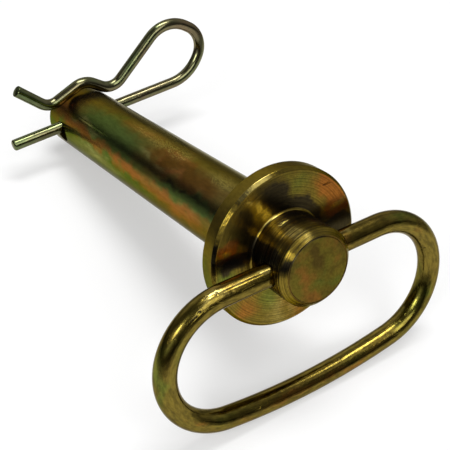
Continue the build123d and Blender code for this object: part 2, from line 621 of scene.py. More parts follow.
@dataclass(frozen=True)
class Finish:
    """Zinc plated and yellow passivated steel: what the turned pin and the wires share.

    Attributes:
        name: the material's name.
        film: the film's colours.
        tints: how much of each tint there is all over, below zero to keep the clouds off.
        blooms: places where the film ran thicker, and patches of painted shade and painted highlight.
        nicks: knocks and scratches at known places.
        stretch: how many times longer the clouds are along the piece than across it.
        clouds: size of the clouds, in clouds for each metre.
        cloud_depth: how far the clouds change the film's thickness.
        mottle: strength of the fine mottling.
        roughness: of the plain metal.
        coat: weight of the clear top of the film.
        coat_roughness: of the clear top.
        sheen: what a shallow angle leaves of the light.
        scuffs: fineness of the handling marks, in marks for each metre.
        polish: how much smoother the metal is where nothing has smudged it.
    """

    name: str
    film: FilmColours = FilmColours()
    tints: tuple = (0.0, 0.0, 0.0, -1.0, -1.0)
    blooms: tuple = ()
    nicks: tuple = ()
    stretch: float = 1.0
    clouds: float = 90.0
    cloud_depth: float = 0.2
    mottle: float = 0.3
    roughness: float = 0.3
    coat: float = 0.12
    coat_roughness: float = 0.5
    sheen: tuple = (0.40, 0.37, 0.22)
    scuffs: float = 260.0
    polish: float = 0.04

    def start(self, groups: dict) -> Metal:
        """Makes an empty metal material, whose sheen stays golden up to a shallow angle.

        Args:
            groups: the shared shader groups by name.

        Returns:
            The metal.
        """
        metal = Metal(self.name, groups)
        metal.set_even("Metallic", 1.0)
        metal.set_even("Roughness", self.roughness)
        metal.set_even("Specular Tint", (*self.sheen, 1))
        metal.set_even("Coat Weight", self.coat)
        metal.set_even("Coat Roughness", self.coat_roughness)
        return metal

    def film_colour(self, metal: Metal) -> Socket:
        """Places the film, with this finish's clouds and blooms.

        Args:
            metal: the metal that it lies on.

        Returns:
            The film's colour.
        """
        tree = metal.tree
        swirl = tree.add("ShaderNodeTexNoise", {"Vector": metal.spot, "Scale": SWIRLS, "Detail": 4.0})
        push = tree.vector("SUBTRACT", swirl.outputs["Color"], (0.5, 0.5, 0.5))
        stirred = tree.vector("ADD", metal.spot, tree.vector("SCALE", push, scale=SWIRL_REACH))
        inputs = {
            "Vector": metal.drawn_out(1 / self.stretch),
            "Cloud Scale": self.clouds,
            "Cloud Depth": self.cloud_depth,
            "Mottle": self.mottle,
            "Gold": (*self.film.gold, 1),
        }
        for tint, plain in zip(Tint, self.tints):
            blooms = tuple(bloom for bloom in self.blooms if bloom.tint is tint)
            inputs[tint.value] = self.film.of(tint)
            inputs[f"{tint.value} Amount"] = metal.marked(stirred, blooms, plain)
        return metal.place("film", inputs).outputs["Color"]

    def scuffed(self, metal: Metal, spot: Socket) -> Node:
        """Places the scuffs, whose smudges dull the metal.

        Args:
            metal: the metal that they are on.
            spot: the coordinates that they are placed in.

        Returns:
            The scuffs' node.
        """
        scuffs = metal.place("scuffs", {"Vector": spot, "Scale": self.scuffs})
        dull = metal.tree.math("MULTIPLY", scuffs.outputs["Smudge"], SMUDGE_ROUGHNESS)
        rough = metal.tree.math("ADD", self.roughness - self.polish, dull)
        metal.tree.feed(metal.shader, "Roughness", rough)
        return scuffs

    def nicked(self, metal: Metal, normal: Socket | None) -> Socket | None:
        """Presses the nicks into the surface.

        Args:
            metal: the metal that they are in.
            normal: the normal before them, if anything has changed it.

        Returns:
            The normal with the nicks in it.
        """
        if not self.nicks:
            return normal
        height = metal.marked(metal.spot, self.nicks, 0.0, "SUBTRACT")
        return metal.tree.bump(height, MM, normal)


@dataclass(frozen=True)
class PinFinish(Finish):
    """The finish of one zone of the turned pin.

    Attributes:
        dust: places where the gold dust lies.
        anisotropy: how far the turning marks draw out a highlight.
        rings: fine turning marks for each metre.
        ring_depth: depth of the fine turning marks, in metres.
        ring_tint: how far the rings change the colour.
        grains: fineness of the grain, in grains for each metre.
        grain: depth of the grain, in metres.
        radial: whether the highlight is drawn out away from the axis, as on a face.
    """

    dust: tuple = ()
    anisotropy: float = 0.0
    rings: float = 6000.0
    ring_depth: float = 0.0
    ring_tint: float = 0.0
    grains: float = 1500.0
    grain: float = 0.0
    radial: bool = False

    def build(self, frame: PinFrame, groups: dict) -> Material:
        """Makes the material.

        Args:
            frame: the pin's axes, which the marks follow.
            groups: the shared shader groups by name.

        Returns:
            The material.
        """
        metal = self.start(groups)
        metal.spot = pin_space(metal.tree, frame)
        turning = None
        if self.ring_depth or self.ring_tint:
            turning = metal.place("turning", {"Vector": metal.spot, "Rings": self.rings})
        metal.tree.feed(metal.shader, "Base Color", self.colour(metal, turning))
        self.scuffed(metal, metal.drawn_out(1 / self.stretch))
        normal = self.relief(metal, turning)
        if normal:
            metal.tree.feed(metal.shader, "Normal", normal)
        if self.anisotropy:
            metal.set_even("Anisotropic", self.anisotropy)
            metal.tree.feed(metal.shader, "Tangent", self.tangent(metal.tree, frame))
        return metal.material

    def colour(self, metal: Metal, turning: Node | None) -> Socket:
        """Lays the gold dust and the turning marks on the film.

        Args:
            metal: the metal that they lie on.
            turning: the turning marks' node, where there are any.

        Returns:
            The colour.
        """
        tree = metal.tree
        colour = self.film_colour(metal)
        if self.dust:
            thick = metal.marked(metal.spot, self.dust, 0.0)
            dust = metal.place("dust", {"Vector": metal.spot, "Thick": thick})
            colour = tree.mix(dust.outputs["Mask"], colour, DUST_COLOUR)
        if self.ring_tint:
            shades = (1 - self.ring_tint, 1 + self.ring_tint)
            ring = tree.ramp(turning.outputs["Ring"], *NOISE_SPAN, shades)
            colour = tree.mix(1.0, colour, tree.grey(ring), "MULTIPLY")
        return colour

    def relief(self, metal: Metal, turning: Node | None) -> Socket | None:
        """Raises the turning marks and the grain, and presses in the nicks.

        Args:
            metal: the metal that they are in.
            turning: the turning marks' node, where there are any.

        Returns:
            The normal, if anything changes it.
        """
        normal = None
        if self.ring_depth:
            normal = metal.tree.bump(turning.outputs["Height"], self.ring_depth)
        if self.grain:
            height = metal.tree.noise(metal.drawn_out(0.3), self.grains, 3.0, 0.6)
            normal = metal.tree.bump(height, self.grain, normal)
        return self.nicked(metal, normal)

    def tangent(self, tree: Tree, frame: PinFrame) -> Socket:
        """Finds the way that a highlight is drawn out: outwards on a face, along the pin on a side.

        Args:
            tree: the material's tree.
            frame: the pin's axes.

        Returns:
            The direction.
        """
        if not self.radial:
            return tree.xyz(*frame.along)
        away = tree.vector("SUBTRACT", object_space(tree), tuple(frame.origin))
        depth = tree.vector("DOT_PRODUCT", away, tuple(frame.along))
        axial = tree.vector("SCALE", tuple(frame.along), scale=depth)
        return tree.vector("NORMALIZE", tree.vector("SUBTRACT", away, axial))


@dataclass(frozen=True)
class WireFinish(Finish):
    """The finish of drawn wire, whose places are in the straightened wire's coordinates.

    Attributes:
        lines: fineness of the drawing lines, in lines for each metre.
        line_depth: depth of the drawing lines, in metres.
        pits: fineness of the plating's pits, in pits for each metre.
        pitting: depth of the pits, as a share of the drawing lines.
        speckles: fineness of the finest grain, in grains for each metre.
        speckle: depth of the finest grain, in metres.
        scratch: depth of the scratches, as a share of the drawing lines.
    """

    stretch: float = 3.0
    clouds: float = 160.0
    cloud_depth: float = 0.12
    roughness: float = 0.14
    coat_roughness: float = 0.1
    sheen: tuple = (0.60, 0.57, 0.50)
    scuffs: float = 500.0
    polish: float = 0.03
    lines: float = 2200.0
    line_depth: float = 0.00003
    pits: float = 1800.0
    pitting: float = 0.8
    speckles: float = 3600.0
    speckle: float = 0.000008
    scratch: float = 0.6

    def build(self, groups: dict) -> Material:
        """Makes the material.

        Args:
            groups: the shared shader groups by name.

        Returns:
            The material.
        """
        metal = self.start(groups)
        tree = metal.tree
        straight = tree.add("ShaderNodeAttribute", attribute_name="straightened")
        metal.spot = straight.outputs["Vector"]
        tree.feed(metal.shader, "Base Color", self.film_colour(metal))
        scuffs = self.scuffed(metal, metal.drawn_out(0.25))
        drawn = tree.noise(metal.drawn_out(0.03), self.lines, 3.0, 0.6)
        pits = tree.noise(metal.drawn_out(0.4), self.pits, 2.0, 0.5)
        drawn = tree.math("ADD", drawn, tree.math("MULTIPLY", pits, self.pitting))
        scratches = tree.math("MULTIPLY", scuffs.outputs["Scratch"], self.scratch)
        normal = tree.bump(tree.math("SUBTRACT", drawn, scratches), self.line_depth)
        normal = tree.bump(tree.noise(metal.spot, self.speckles, 2.0, 0.6), self.speckle, normal)
        tree.feed(metal.shader, "Normal", self.nicked(metal, normal))
        return metal.material


def object_space(tree: Tree) -> Socket:
    """Object coordinates, which are row coordinates on every piece."""
    return tree.add("ShaderNodeTexCoord").outputs["Object"]


def pin_space(tree: Tree, frame: PinFrame) -> Socket:
    """Object coordinates turned into the pin's own frame."""
    inputs = {"Vector": object_space(tree), "Location": frame.origin, "Rotation": frame.matrix().to_euler()}
    return tree.first("ShaderNodeMapping", inputs, vector_type="TEXTURE")


# ---------------------------------------------------------------- meshes


def arc_points(centre: tuple, radius: float, start: float, end: float, steps: int) -> list:
    """Points on an arc, both ends included, with angles in radians."""
    turns = [start + (end - start) * i / steps for i in range(steps + 1)]
    return [(centre[0] + radius * math.cos(t), centre[1] + radius * math.sin(t)) for t in turns]


def rounded(before: tuple, corner: tuple, after: tuple, radius: float, steps: int) -> list:
    """The arc that rounds a corner.

    Args:
        before: the point before the corner.
        corner: the corner itself.
        after: the point after it.
        radius: of the arc.
        steps: pieces of the arc.

    Returns:
        The arc's points, in order.
    """
    p, a, b = Vector(corner), Vector(before), Vector(after)
    into, out = (p - a).normalized(), (b - p).normalized()
    turn = into.angle_signed(out)
    start = p - into * (radius * math.tan(abs(turn) / 2))
    side = Vector((-into.y, into.x)) * math.copysign(1, -turn)
    centre = start + side * radius
    first = math.atan2(*(start - centre).yx)
    return arc_points(tuple(centre), radius, first, first - turn, steps)


def divided(start: tuple, end: tuple, step: float) -> list:
    """Points on a straight run, without its last.

    Args:
        start: the first point.
        end: where the run goes to.
        step: about how far apart the points are.

    Returns:
        The points from start to just before end.
    """
    count = max(1, round(math.dist(start, end) / step))
    whole = np.subtract(end, start)
    return [tuple(np.add(start, np.multiply(whole, i / count))) for i in range(count)]


def object_from(mesh: bpy.types.Mesh, name: str) -> Object:
    """Puts a mesh in the scene.

    Args:
        mesh: the mesh.
        name: the object's name.

    Returns:
        The object.
    """
    made = bpy.data.objects.new(name, mesh)
    bpy.context.scene.collection.objects.link(made)
    return made


def settled(piece: Object, name: str) -> Object:
    """A piece with its modifiers turned into plain mesh.

    Args:
        piece: the object with live modifiers, which is removed.
        name: the new object's name.

    Returns:
        The plain object.
    """
    bpy.context.view_layer.update()
    seen = piece.evaluated_get(bpy.context.evaluated_depsgraph_get())
    mesh = bpy.data.meshes.new_from_object(seen)
    mesh.name = name
    bpy.data.objects.remove(piece)
    return object_from(mesh, name)


def set_input(modifier: bpy.types.Modifier, name: str, value: object) -> None:
    """Sets a Geometry Nodes modifier's input by its socket's identifier.

    Args:
        modifier: the modifier.
        name: the input's name.
        value: its new value.
    """
    sockets = modifier.node_group.interface.items_tree
    found = next(s for s in sockets if s.name == name and s.in_out == "INPUT")
    modifier[found.identifier] = value


def run_nodes(piece: Object, tree: NodeTree, values: dict, name: str) -> Object:
    """Puts a piece through a Geometry Nodes tree and keeps the result as plain mesh.

    Args:
        piece: the object that goes in, which is removed.
        tree: the Geometry Nodes tree.
        values: input name to value.
        name: the new object's name.

    Returns:
        The plain object.
    """
    modifier = piece.modifiers.new(tree.name, "NODES")
    modifier.node_group = tree
    for label, value in values.items():
        set_input(modifier, label, value)
    return settled(piece, name)


# ---------------------------------------------------------------- geometry trees


def wire_tree() -> NodeTree:
    """A round wire along a path, with dents at scattered points and a slightly uneven skin.

    Returns:
        The tree.
    """
    inputs = {
        "Geometry": (Sockets.GEOMETRY, None),
        "Wire Radius": (Sockets.VALUE, 0.001),
        "Sides": (Sockets.WHOLE, 48),
        "Unevenness": (Sockets.VALUE, 0.00002),
        "Waves": (Sockets.VALUE, 700.0),
        "Dents per Square Metre": (Sockets.VALUE, 5000.0),
        "Dent Radius": (Sockets.VALUE, 0.0005),
        "Dent Depth": (Sockets.VALUE, 0.00003),
        "Seed": (Sockets.WHOLE, 1),
        "Material": (Sockets.MATERIAL, None),
    }
    outputs = {"Geometry": Sockets.GEOMETRY}
    tree, given, out = new_group("BentWire", "GeometryNodeTree", inputs, outputs)
    # the path carries how far along it each point is, and the circle where each of its points lies
    path = tree.first("GeometryNodeMeshToCurve", {"Mesh": given["Geometry"]})
    length = tree.add("GeometryNodeSplineParameter").outputs["Length"]
    path = tree.store(path, "run", length)
    size = {"Resolution": given["Sides"], "Radius": given["Wire Radius"]}
    circle = tree.add("GeometryNodeCurvePrimitiveCircle", size).outputs["Curve"]
    place = tree.first("GeometryNodeInputPosition")
    circle = tree.store(circle, "section", place, "FLOAT_VECTOR")
    inputs = {"Curve": path, "Profile Curve": circle, "Scale": tree.named("thickness"), "Fill Caps": True}
    skin = tree.first("GeometryNodeCurveToMesh", inputs)
    across, up, _ = tree.split(tree.named("section", "FLOAT_VECTOR"))
    unrolled = tree.xyz(tree.named("run"), across, up)
    skin = tree.store(skin, "straightened", unrolled, "FLOAT_VECTOR")
    # the skin's slow waves, and a round dent at each scattered point
    waves = tree.noise(tree.vector("MULTIPLY", unrolled, (0.35, 1.0, 1.0)), given["Waves"], 2.0)
    lift = tree.math("MULTIPLY", tree.math("SUBTRACT", waves, 0.5), given["Unevenness"])
    inputs = {"Mesh": skin, "Density": given["Dents per Square Metre"], "Seed": given["Seed"]}
    spots = tree.add("GeometryNodeDistributePointsOnFaces", inputs).outputs["Points"]
    away = tree.add("GeometryNodeProximity", {"Geometry": spots}, target_element="POINTS")
    share = tree.math("DIVIDE", away.outputs["Distance"], given["Dent Radius"])
    dent = tree.math("MULTIPLY", tree.ramp(share, 0.0, 1.0, (1.0, 0.0)), given["Dent Depth"])
    normal = tree.first("GeometryNodeInputNormal")
    offset = tree.vector("SCALE", normal, scale=tree.math("SUBTRACT", lift, dent))
    skin = tree.first("GeometryNodeSetPosition", {"Geometry": skin, "Offset": offset})
    skin = tree.first("GeometryNodeSetShadeSmooth", {"Geometry": skin})
    skin = tree.first("GeometryNodeRealizeInstances", {"Geometry": skin})
    inputs = {"Geometry": skin, "Material": given["Material"]}
    tree.feed(out, 0, tree.first("GeometryNodeSetMaterial", inputs))
    return tree.tree


def turning_tree() -> NodeTree:
    """The lathe's feed marks: shallow rings that move the skin of a turned blank in and out.

    Returns:
        The tree.
    """
    inputs = {
        "Geometry": (Sockets.GEOMETRY, None),
        "Depth Share": (Sockets.VALUE, 1.0),
        "Drifts": (Sockets.VALUE, 0.4),
        "Wander": (Sockets.VALUE, 1.2),
        "Fades": (Sockets.VALUE, 0.23),
        "Patches": (Sockets.VALUE, 110.0),
        "Seed": (Sockets.VALUE, 1.0),
        "Bore Index": (Sockets.WHOLE, 8),
        "Bore Material": (Sockets.MATERIAL, None),
    }
    outputs = {"Geometry": Sockets.GEOMETRY}
    tree, given, out = new_group("FeedMarks", "GeometryNodeTree", inputs, outputs)
    place = tree.first("GeometryNodeInputPosition")
    turns = tree.math("DIVIDE", tree.travel(place), tree.named("feed"))
    # the rings drift from even spacing, and deepen and fade from ring to ring and from patch to patch
    drift = tree.noise(tree.math("ADD", turns, given["Seed"]), given["Drifts"], 2.0, 0.5, "1D")
    turned = tree.math("ADD", turns, tree.math("MULTIPLY", drift, given["Wander"]))
    wave = tree.math("SINE", tree.math("MULTIPLY", turned, math.tau))
    fade = tree.noise(tree.math("SUBTRACT", turns, given["Seed"]), given["Fades"], 1.0, 0.5, "1D")
    patch = tree.ramp(tree.noise(place, given["Patches"], 2.0), *NOISE_SPAN, (0.4, 1.3))
    size = tree.math("MULTIPLY", tree.ramp(fade, *NOISE_SPAN, (0.3, 1.0)), tree.named("depth"))
    size = tree.math("MULTIPLY", tree.math("MULTIPLY", size, patch), given["Depth Share"])
    normal = tree.first("GeometryNodeInputNormal")
    offset = tree.vector("SCALE", normal, scale=tree.math("MULTIPLY", wave, size))
    skin = tree.first("GeometryNodeSetPosition", {"Geometry": given["Geometry"], "Offset": offset})
    skin = tree.first("GeometryNodeRealizeInstances", {"Geometry": skin})
    index = tree.first("GeometryNodeInputMaterialIndex")
    inputs = {2: index, 3: given["Bore Index"]}
    bored = tree.first("FunctionNodeCompare", inputs, data_type="INT", operation="EQUAL")
    inputs = {"Geometry": skin, "Selection": bored, "Material": given["Bore Material"]}
    tree.feed(out, 0, tree.first("GeometryNodeSetMaterial", inputs))
    return tree.tree


# ---------------------------------------------------------------- the turned pin


class Zone(Enum):
    """The zones of the turned pin, each with a finish of its own."""

    SHANK = 0
    SEAT = 1
    RIM = 2
    EDGE = 3
    FACE = 4
    SIDE = 5
    LIP = 6
    END = 7
    BORE = 8
    GROOVE = 9


def zoned(name: str, verts: list, faces: list, zones: list) -> bpy.types.Mesh:
    """A mesh with an empty material slot for each zone.

    Args:
        name: the mesh's name.
        verts: its points.
        faces: its faces.
        zones: the zone of each face.

    Returns:
        The mesh.
    """
    mesh = bpy.data.meshes.new(name)
    mesh.from_pydata(verts, [], faces)
    for _ in Zone:
        mesh.materials.append(None)
    mesh.polygons.foreach_set("material_index", [zone.value for zone in zones])
    return mesh


@dataclass
class TurnedPin:
    """The pin body: shank, flange and head, turned from one bar, with two cross holes.

    Attributes:
        tip_chamfer: along the pin and in towards its axis.
        edge_break: depth of the countersink at a hole's mouth.
        edge_radius: of the broken edges.
        end_groove: depth of the ring round the head's end.
        groove_places: how far in from the lip the groove's floor starts and ends, and the end face starts.
        spokes: points round the pin.
        corner_steps: pieces of each rounded edge.
        drill_sides: sides of a cross hole.
        feed: how far the tool goes on for each turn.
        feeds: zone to feed and depth of the marks, where the marks are real shape.
        plain_step: how far apart the profile's points are where there are no marks.
        sharp_angle: the angle between faces above which an edge is sharp.
        seed: what sets the marks' wander.
    """

    shank_diameter: float = 19.05 * MM
    shank_length: float = 109.5 * MM
    tip_chamfer: tuple = (2.0 * MM, 1.5 * MM)
    flange_diameter: float = 38.5 * MM
    flange_thickness: float = 4.5 * MM
    flange_front_chamfer: float = 0.7 * MM
    flange_back_chamfer: float = 0.3 * MM
    flange_root_radius: float = 0.8 * MM
    head_diameter: float = 18.7 * MM
    head_length: float = 11.8 * MM
    head_chamfer: float = 1.4 * MM
    head_root_radius: float = 0.5 * MM
    bail_bore_diameter: float = 5.55 * MM
    clip_hole_diameter: float = 6.5 * MM
    clip_hole_from_tip: float = 10.1 * MM
    edge_break: float = 0.3 * MM
    edge_radius: float = 0.12 * MM
    end_groove: float = 0.20 * MM
    groove_places: tuple = (0.08 * MM, 0.26 * MM, 0.40 * MM)
    spokes: int = 192
    corner_steps: int = 6
    drill_sides: int = 96
    feed: float = 0.36 * MM
    feeds: dict = field(default_factory=lambda: {
        Zone.FACE: (0.36 * MM, 0.0045 * MM),
        Zone.SIDE: (0.58 * MM, 0.030 * MM),
        Zone.LIP: (0.38 * MM, 0.026 * MM),
        Zone.EDGE: (0.36 * MM, 0.010 * MM),
    })
    plain_step: float = 0.8 * MM
    sharp_angle: float = math.radians(40)
    seed: float = 3.0

    @property
    def bore_height(self) -> float:
        """From the bearing face to the bail's bore."""
        return self.flange_thickness + self.head_length / 2

    @property
    def clip_height(self) -> float:
        """From the bearing face to the clip's hole, which is below zero."""
        return self.clip_hole_from_tip - self.shank_length

    def corners(self) -> list:
        """The profile's corners from the tip to the head.

        Returns:
            For each corner its place, its radius and the zone after it.
        """
        shank, flange, head = (
            d / 2 for d in (self.shank_diameter, self.flange_diameter, self.head_diameter)
        )
        tip_length, tip_depth = self.tip_chamfer
        face = self.flange_thickness
        top = face + self.head_length
        rim = head - self.head_chamfer
        floor = top - self.end_groove
        floor_start, floor_end, end_start = self.groove_places
        soft = self.edge_radius
        return [
            ((-self.shank_length, 0.0), 0.0, Zone.END),
            ((-self.shank_length, shank - tip_depth), soft, Zone.EDGE),
            ((-self.shank_length + tip_length, shank), soft * 2, Zone.SHANK),
            ((0.0, shank), self.flange_root_radius, Zone.SEAT),
            ((0.0, flange - self.flange_back_chamfer), soft, Zone.EDGE),
            ((self.flange_back_chamfer, flange), soft, Zone.RIM),
            ((face - self.flange_front_chamfer, flange), soft, Zone.EDGE),
            ((face, flange - self.flange_front_chamfer), soft, Zone.FACE),
            ((face, head), self.head_root_radius, Zone.SIDE),
            ((top - self.head_chamfer, head), soft, Zone.LIP),
            ((top, rim), soft / 2, Zone.GROOVE),
            ((floor, rim - floor_start), soft / 3, Zone.GROOVE),
            ((floor, rim - floor_end), soft / 2, Zone.GROOVE),
            ((top, rim - end_start), soft / 2, Zone.END),
            ((top, 0.0), 0.0, Zone.END),
        ]

    def step(self, zone: Zone) -> float:
        """How far apart the profile's points are in a zone."""
        return self.feed / 4 if zone in self.feeds else self.plain_step

    def profile(self) -> list:
        """The profile from the tip to the head.

        Returns:
            Its points, each with its zone.
        """
        corners = self.corners()
        places = [place for place, _, _ in corners]
        arcs = [
            rounded(places[i - 1], place, places[i + 1], radius, self.corner_steps) if radius else [place]
            for i, (place, radius, _) in enumerate(corners)
        ]
        points = []
        for arc, after, (_, _, zone) in zip(arcs, arcs[1:], corners):
            span = arc[:-1] + divided(arc[-1], after[0], self.step(zone))
            points += [(place, zone) for place in span]
        return points + [(places[-1], corners[-1][2])]

    def blank(self) -> Object:
        """The turned blank in the pin's own frame, with a zone on each face and its feed on each point.

        Returns:
            The blank.
        """
        (tip, _), *middle, (top, _) = points = self.profile()
        turns = np.arange(self.spokes) * math.tau / self.spokes
        shape = (len(middle), self.spokes)
        along, radii = np.array([place for place, _ in middle]).T
        rings = np.stack(
            [
                np.broadcast_to(along[:, None], shape),
                np.outer(radii, np.cos(turns)),
                np.outer(radii, np.sin(turns)),
            ],
            axis=2,
        )
        verts = [(tip[0], 0.0, 0.0), *rings.reshape(-1, 3).tolist(), (top[0], 0.0, 0.0)]
        near = 1 + np.arange(len(middle) * self.spokes).reshape(shape)
        far = np.roll(near, -1, axis=1)
        faces = [(0, b, a) for a, b in zip(near[0].tolist(), far[0].tolist())]
        faces += np.stack([near[:-1], far[:-1], far[1:], near[1:]], axis=2).reshape(-1, 4).tolist()
        faces += [(a, b, len(verts) - 1) for a, b in zip(near[-1].tolist(), far[-1].tolist())]
        zones = [zone for _, zone in points[:-2] + points[-1:] for _ in range(self.spokes)]
        mesh = zoned("blank", verts, faces, zones)
        plain = (self.feed, 0.0)
        marks = np.repeat([self.feeds.get(zone, plain) for _, zone in middle], self.spokes, axis=0)
        marks = np.vstack([(1.0, 0.0), marks, (1.0, 0.0)])
        for name, values in zip(("feed", "depth"), marks.T):
            mesh.attributes.new(name, "FLOAT", "POINT").data.foreach_set("value", values.tolist())
        mesh.update()
        return object_from(mesh, "blank")

    def drill(self, x: float, turn: float, diameter: float, wall: float) -> Object:
        """A cutter for a cross hole, with a countersink at each mouth.

        Args:
            x: the hole's place along the pin.
            turn: about the pin's axis, in radians, from the bail's bore.
            diameter: of the hole.
            wall: diameter of the round wall that the hole goes through.

        Returns:
            The cutter, in the pin's own frame.
        """
        sides = self.drill_sides
        radius = diameter / 2
        wide = radius + 3 * self.edge_break
        mouth = wall / 2 - self.edge_break
        far = mouth + 3 * self.edge_break
        outline = [(-wall, wide), (-far, wide), (-mouth, radius), (mouth, radius), (far, wide), (wall, wide)]
        turns = [i * math.tau / sides for i in range(sides)]
        tool = bmesh.new()
        rings = [
            [tool.verts.new((r * math.cos(t), along, r * math.sin(t))) for t in turns]
            for along, r in outline
        ]
        for low, high in zip(rings, rings[1:]):
            for i in range(sides):
                tool.faces.new((low[i - 1], low[i], high[i], high[i - 1]))
        tool.faces.new(rings[0][::-1])
        tool.faces.new(rings[-1])
        bmesh.ops.recalc_face_normals(tool, faces=tool.faces)
        tool.transform(Matrix.Translation((x, 0, 0)) @ Matrix.Rotation(turn, 4, "X"))
        mesh = bpy.data.meshes.new("drill")
        tool.to_mesh(mesh)
        tool.free()
        for _ in Zone:
            mesh.materials.append(None)
        mesh.polygons.foreach_set("material_index", [Zone.BORE.value] * len(mesh.polygons))
        return object_from(mesh, "drill")

    def build(self, frame: PinFrame, marks: NodeTree, finishes: dict) -> Object:
        """Builds the pin in the row frame.

        Args:
            frame: where the pin lies.
            marks: the Geometry Nodes tree of the feed marks.
            finishes: zone to material.

        Returns:
            The finished piece.
        """
        piece = self.blank()
        clip_turn = math.atan2(frame.clip_way.dot(frame.up), frame.clip_way.dot(frame.across))
        drills = [
            self.drill(self.bore_height, 0.0, self.bail_bore_diameter, self.head_diameter),
            self.drill(self.clip_height, clip_turn, self.clip_hole_diameter, self.shank_diameter),
        ]
        for tool in drills:
            cut = piece.modifiers.new("cut", "BOOLEAN")
            cut.object, cut.operation, cut.solver = tool, "DIFFERENCE", "MANIFOLD"
        piece = settled(piece, "drilled_pin")
        for tool in drills:
            bpy.data.objects.remove(tool)
        for zone in Zone:
            piece.data.materials[zone.value] = finishes[zone]
        bore = {"Bore Index": Zone.BORE.value, "Bore Material": finishes[Zone.BORE]}
        piece = run_nodes(piece, marks, {"Seed": self.seed, **bore}, "turned_pin")
        piece.data.transform(frame.matrix())
        piece.data.shade_smooth()
        piece.data.set_sharp_from_angle(angle=self.sharp_angle)
        return piece


# ---------------------------------------------------------------- the two wires


class WirePath:
    """A flat path of straight runs and bends, walked from one end to the other."""

    def __init__(self, start: tuple, heading: float, step: float) -> None:
        """Starts a path.

        Args:
            start: the first point in the path's plane.
            heading: the first direction, in radians from x.
            step: how far apart the points are.
        """
        self.points = [Vector(start)]
        self.heading = heading
        self.step = step

    def straight(self, length: float) -> "WirePath":
        """Goes straight on.

        Args:
            length: how far.

        Returns:
            The path itself.
        """
        way = Vector((math.cos(self.heading), math.sin(self.heading)))
        count = max(1, round(length / self.step))
        start = self.points[-1]
        self.points += [start + way * (length * i / count) for i in range(1, count + 1)]
        return self

    def bend(self, radius: float, angle: float) -> "WirePath":
        """Turns on an arc.

        Args:
            radius: of the arc.
            angle: in radians, to the left if it is above zero.

        Returns:
            The path itself.
        """
        count = max(2, round(radius * abs(angle) / self.step))
        part = angle / count
        chord = 2 * radius * math.sin(abs(part) / 2)
        for _ in range(count):
            middle = self.heading + part / 2
            self.points.append(self.points[-1] + Vector((math.cos(middle), math.sin(middle))) * chord)
            self.heading += part
        return self


@dataclass
class BentWire:
    """A length of round wire. The two wires of the pin build on it.

    Attributes:
        wire_diameter: of the wire.
        step: how far apart the points are along it.
        sides: points round it.
        unevenness: depth of the skin's slow waves.
        dents: how many there are on each square metre.
        dent_radius: of a dent.
        dent_depth: of a dent.
        seed: what scatters the dents.
        end_chamfers: of the first end and of the last.
        end_shape: how far in each ring of an end is, and how far below the skin, as shares of the chamfer.
        end_points: how many of the path's points an end takes up.
        sharp_angle: the angle between faces above which an edge is sharp.
    """

    wire_diameter: float = 5.35 * MM
    step: float = 0.28 * MM
    sides: int = 64
    unevenness: float = 0.02 * MM
    dents: float = 9000.0
    dent_radius: float = 0.7 * MM
    dent_depth: float = 0.03 * MM
    seed: int = 1
    end_chamfers: tuple = (0.5 * MM, 0.5 * MM)
    end_shape: tuple = ((0.0, 1.0), (0.12, 0.75), (1.0, 0.06), (1.15, 0.0))
    end_points: int = 3
    sharp_angle: float = math.radians(35)

    def path(self) -> WirePath:
        """The wire's centreline in its own plane."""
        raise NotImplementedError

    def plane(self, frame: PinFrame) -> Matrix:
        """The move from that plane to the row frame."""
        raise NotImplementedError

    def chamfered(self, points: list, chamfer: float) -> list:
        """The rings of one end.

        Args:
            points: the path's points, from that end on.
            chamfer: how far the end's edge is broken.

        Returns:
            Places on the path, each with its share of the wire's thickness.
        """
        radius = self.wire_diameter / 2
        way = (points[1] - points[0]).normalized()
        return [
            (points[0] + way * (chamfer * run), (radius - chamfer * depth) / radius)
            for run, depth in self.end_shape
        ]

    def centreline(self, frame: PinFrame) -> Object:
        """The path as a chain of edges in the row frame, with the wire's thickness on each point.

        Args:
            frame: where the pin lies.

        Returns:
            The chain.
        """
        points = self.path().points
        first, last = self.end_chamfers
        middle = [(place, 1.0) for place in points[self.end_points:-self.end_points]]
        line = self.chamfered(points, first) + middle + self.chamfered(points[::-1], last)[::-1]
        plane = self.plane(frame)
        mesh = bpy.data.meshes.new("centreline")
        verts = [tuple(plane @ place.to_3d()) for place, _ in line]
        mesh.from_pydata(verts, [(i, i + 1) for i in range(len(line) - 1)], [])
        thick = [share for _, share in line]
        mesh.attributes.new("thickness", "FLOAT", "POINT").data.foreach_set("value", thick)
        return object_from(mesh, "centreline")

    def build(self, frame: PinFrame, tree: NodeTree, material: Material, name: str) -> Object:
        """Builds the wire in the row frame.

        Args:
            frame: where the pin lies.
            tree: the Geometry Nodes tree of a bent wire.
            material: its finish.
            name: the piece's name.

        Returns:
            The finished piece.
        """
        values = {
            "Wire Radius": self.wire_diameter / 2,
            "Sides": self.sides,
            "Unevenness": self.unevenness,
            "Dents per Square Metre": self.dents,
            "Dent Radius": self.dent_radius,
            "Dent Depth": self.dent_depth,
            "Seed": self.seed,
            "Material": material,
        }
        piece = run_nodes(self.centreline(frame), tree, values, name)
        piece.data.set_sharp_from_angle(angle=self.sharp_angle)
        return piece


